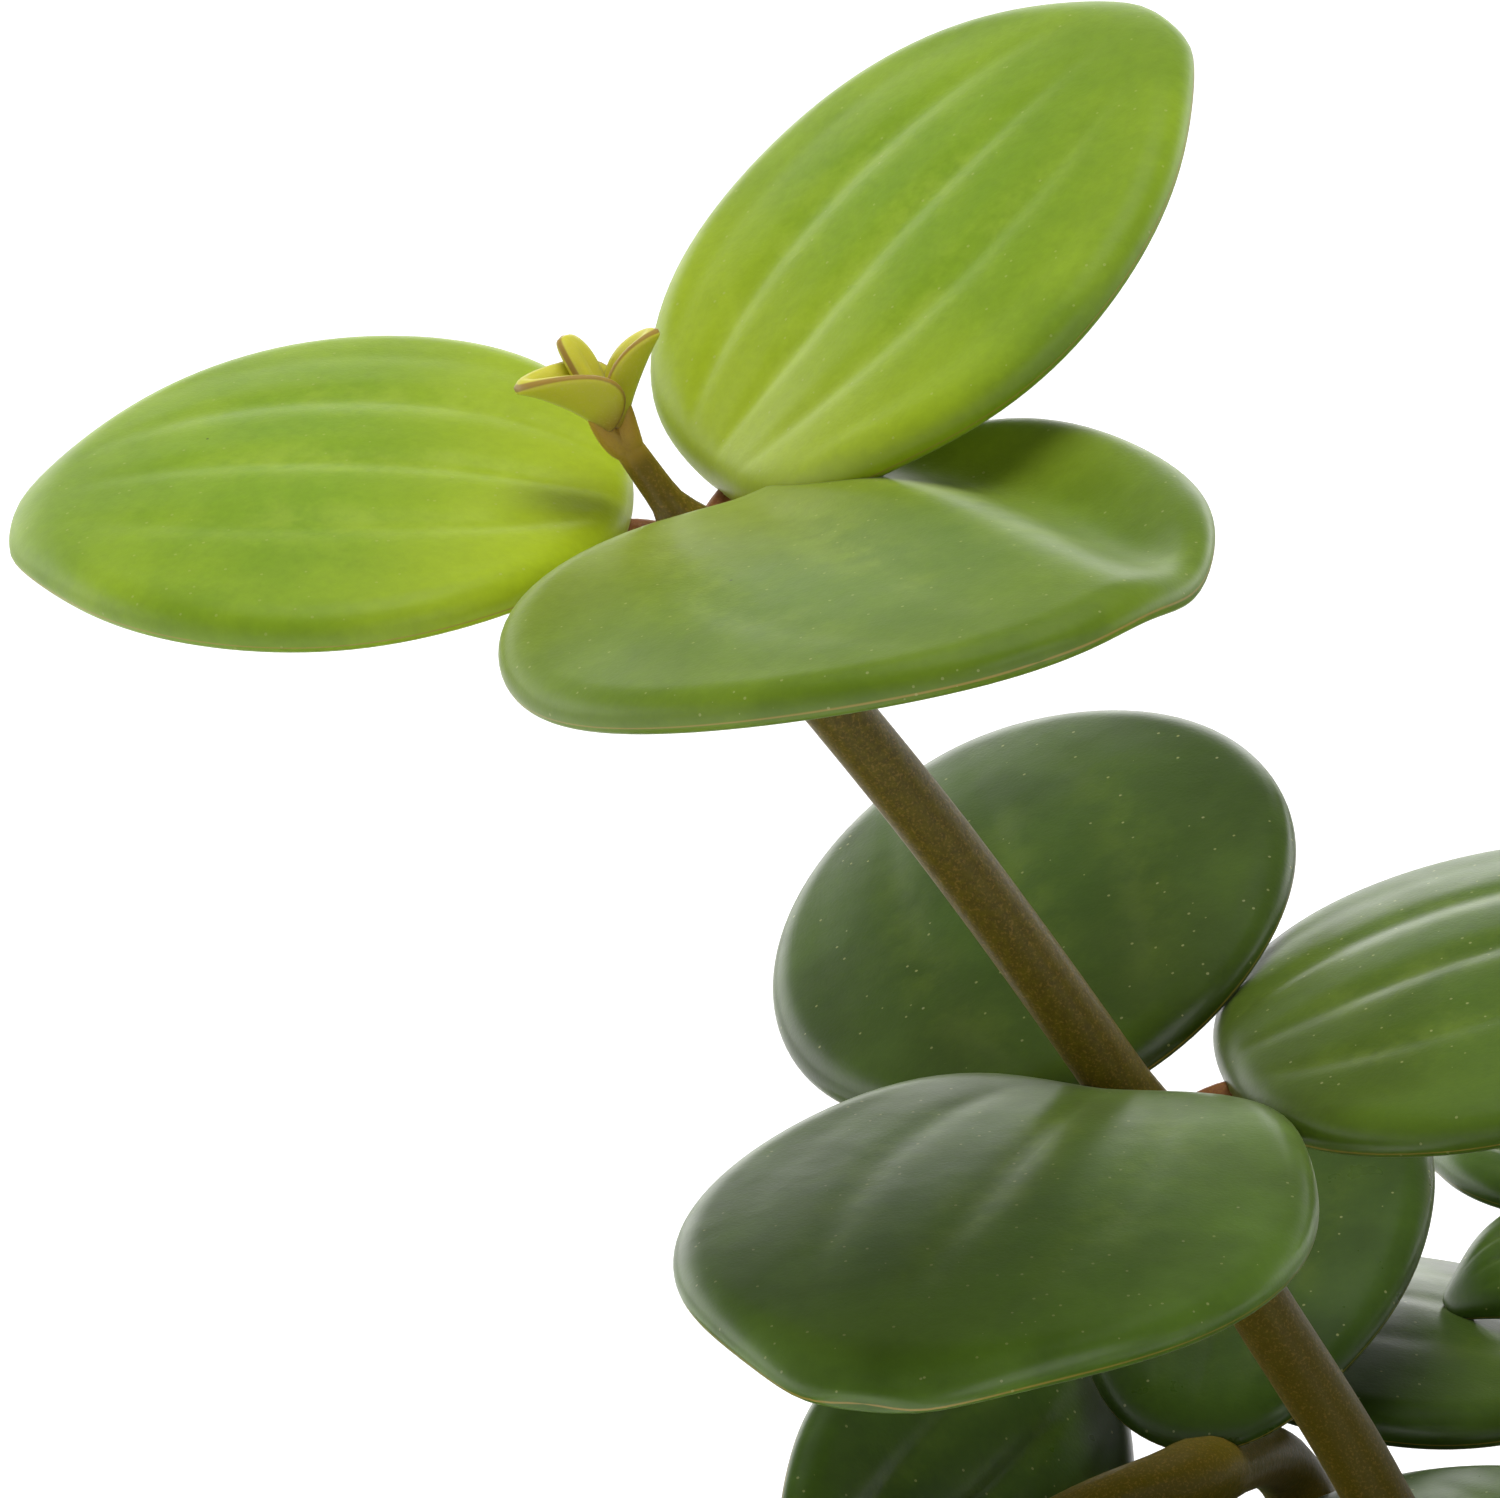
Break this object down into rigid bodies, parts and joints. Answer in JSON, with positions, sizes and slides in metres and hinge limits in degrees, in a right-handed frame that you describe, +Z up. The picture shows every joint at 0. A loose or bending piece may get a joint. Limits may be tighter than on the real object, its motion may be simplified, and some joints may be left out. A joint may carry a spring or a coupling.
{
  "type": "potted hope peperomia",
  "caption": "Potted hope peperomia: leaning stems with whorls of thick round leaves, in a plain clay pot that stands on its flat base.",
  "frame": {"origin": "centre of the pot's flat base, on the surface that it stands on", "axes": "+Z up along the pot's axis; +Y away from the viewer of the picture; the leading shoot leans to -X"},
  "size_m": [0.2169, 0.2226, 0.1996],
  "materials": {
    "leaf": "satin",
    "stem": "satin",
    "soil": "matte",
    "clay": "matte"
  },
  "bodies": {
    "root": {"pot": "clay", "soil": "soil", "leafy_stem_01": "leaf", "leafy_stem_02": "leaf", "leafy_stem_03": "leaf", "leafy_stem_04": "leaf", "leafy_stem_05": "leaf", "leafy_stem_06": "leaf", "leafy_stem_07": "leaf", "leafy_stem_08": "leaf", "leafy_stem_09": "leaf", "leafy_stem_10": "leaf", "leafy_stem_11": "leaf", "leafy_stem_12": "leaf", "leafy_stem_13": "leaf", "leafy_stem_14": "leaf", "leafy_stem_15": "leaf"}
  },
  "joints": []
}
